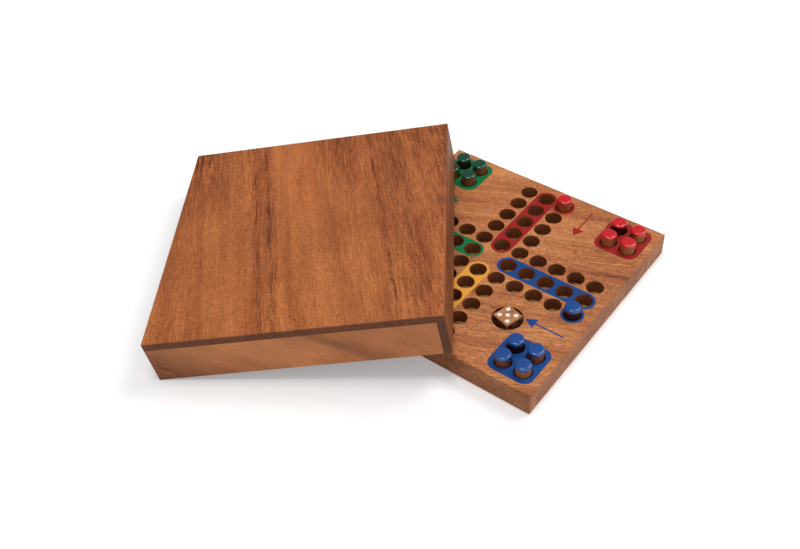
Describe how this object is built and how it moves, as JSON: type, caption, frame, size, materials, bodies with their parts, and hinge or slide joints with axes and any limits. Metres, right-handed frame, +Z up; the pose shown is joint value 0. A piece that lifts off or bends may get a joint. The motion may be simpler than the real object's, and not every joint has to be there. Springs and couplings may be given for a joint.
{
  "type": "boxed peg ludo set",
  "caption": "Square wooden peg ludo board with drilled track and home holes, painted fields, coloured pegs, a die in a round pocket, and a loose box lid leaning on the board.",
  "frame": {"origin": "middle of the board's underside, where it lies on the table", "axes": "+Z up out of the board; +X and +Y along the board's sides, the blue arm on +X and the red arm on +Y"},
  "size_m": [0.286, 0.2571, 0.053],
  "materials": {
    "board_wood": "satin, open grain",
    "lid_wood": "satin, open grain",
    "red_ink": "satin paint",
    "blue_ink": "satin paint",
    "yellow_ink": "satin paint",
    "green_ink": "satin paint",
    "red_peg": "wood with a gloss dipped tip",
    "blue_peg": "wood with a gloss dipped tip",
    "yellow_peg": "wood with a gloss dipped tip",
    "green_peg": "wood with a gloss dipped tip",
    "die_wood": "satin",
    "pip_paint": "satin paint"
  },
  "bodies": {
    "board": {"board": "board_wood", "red_paint": "red_ink", "blue_paint": "blue_ink", "yellow_paint": "yellow_ink", "green_paint": "green_ink", "green_peg_3": "green_peg"},
    "lid": {"lid_top_panel": "lid_wood", "lid_front_rail": "lid_wood", "lid_right_rail": "lid_wood", "lid_back_rail": "lid_wood", "lid_left_rail": "lid_wood"},
    "red_peg_1": {"red_peg_1": "red_peg"},
    "red_peg_2": {"red_peg_2": "red_peg"},
    "red_peg_3": {"red_peg_3": "red_peg"},
    "red_peg_4": {"red_peg_4": "red_peg"},
    "red_peg_5": {"red_peg_5": "red_peg"},
    "blue_peg_1": {"blue_peg_1": "blue_peg"},
    "blue_peg_2": {"blue_peg_2": "blue_peg"},
    "blue_peg_3": {"blue_peg_3": "blue_peg"},
    "blue_peg_4": {"blue_peg_4": "blue_peg"},
    "blue_peg_5": {"blue_peg_5": "blue_peg"},
    "yellow_peg_1": {"yellow_peg_1": "yellow_peg"},
    "yellow_peg_2": {"yellow_peg_2": "yellow_peg"},
    "yellow_peg_3": {"yellow_peg_3": "yellow_peg"},
    "yellow_peg_4": {"yellow_peg_4": "yellow_peg"},
    "yellow_peg_5": {"yellow_peg_5": "yellow_peg"},
    "green_peg_1": {"green_peg_1": "green_peg"},
    "green_peg_2": {"green_peg_2": "green_peg"},
    "green_peg_4": {"green_peg_4": "green_peg"},
    "green_peg_5": {"green_peg_5": "green_peg"},
    "die": {"die": "die_wood", "die_pips": "pip_paint"}
  },
  "joints": [
    {"name": "lid_lift", "type": "slide", "parent": "board", "child": "lid", "axis": [0, 0, 1], "range_m": [0, 0.06]},
    {"name": "red_peg_1_lift", "type": "slide", "parent": "board", "child": "red_peg_1", "axis": [0, 0, 1], "range_m": [0, 0.012]},
    {"name": "red_peg_2_lift", "type": "slide", "parent": "board", "child": "red_peg_2", "axis": [0, 0, 1], "range_m": [0, 0.012]},
    {"name": "red_peg_3_lift", "type": "slide", "parent": "board", "child": "red_peg_3", "axis": [0, 0, 1], "range_m": [0, 0.012]},
    {"name": "red_peg_4_lift", "type": "slide", "parent": "board", "child": "red_peg_4", "axis": [0, 0, 1], "range_m": [0, 0.012]},
    {"name": "red_peg_5_lift", "type": "slide", "parent": "board", "child": "red_peg_5", "axis": [0, 0, 1], "range_m": [0, 0.012]},
    {"name": "blue_peg_1_lift", "type": "slide", "parent": "board", "child": "blue_peg_1", "axis": [0, 0, 1], "range_m": [0, 0.012]},
    {"name": "blue_peg_2_lift", "type": "slide", "parent": "board", "child": "blue_peg_2", "axis": [0, 0, 1], "range_m": [0, 0.012]},
    {"name": "blue_peg_3_lift", "type": "slide", "parent": "board", "child": "blue_peg_3", "axis": [0, 0, 1], "range_m": [0, 0.012]},
    {"name": "blue_peg_4_lift", "type": "slide", "parent": "board", "child": "blue_peg_4", "axis": [0, 0, 1], "range_m": [0, 0.012]},
    {"name": "blue_peg_5_lift", "type": "slide", "parent": "board", "child": "blue_peg_5", "axis": [0, 0, 1], "range_m": [0, 0.012]},
    {"name": "yellow_peg_1_lift", "type": "slide", "parent": "board", "child": "yellow_peg_1", "axis": [0, 0, 1], "range_m": [0, 0.012]},
    {"name": "yellow_peg_2_lift", "type": "slide", "parent": "board", "child": "yellow_peg_2", "axis": [0, 0, 1], "range_m": [0, 0.012]},
    {"name": "yellow_peg_3_lift", "type": "slide", "parent": "board", "child": "yellow_peg_3", "axis": [0, 0, 1], "range_m": [0, 0.012]},
    {"name": "yellow_peg_4_lift", "type": "slide", "parent": "board", "child": "yellow_peg_4", "axis": [0, 0, 1], "range_m": [0, 0.012]},
    {"name": "yellow_peg_5_lift", "type": "slide", "parent": "board", "child": "yellow_peg_5", "axis": [0, 0, 1], "range_m": [0, 0.012]},
    {"name": "green_peg_1_lift", "type": "slide", "parent": "board", "child": "green_peg_1", "axis": [0, 0, 1], "range_m": [0, 0.012]},
    {"name": "green_peg_2_lift", "type": "slide", "parent": "board", "child": "green_peg_2", "axis": [0, 0, 1], "range_m": [0, 0.012]},
    {"name": "green_peg_4_lift", "type": "slide", "parent": "board", "child": "green_peg_4", "axis": [0, 0, 1], "range_m": [0, 0.012]},
    {"name": "green_peg_5_lift", "type": "slide", "parent": "board", "child": "green_peg_5", "axis": [0, 0, 1], "range_m": [0, 0.012]},
    {"name": "die_lift", "type": "slide", "parent": "board", "child": "die", "axis": [0, 0, 1], "range_m": [0, 0.015]}
  ]
}
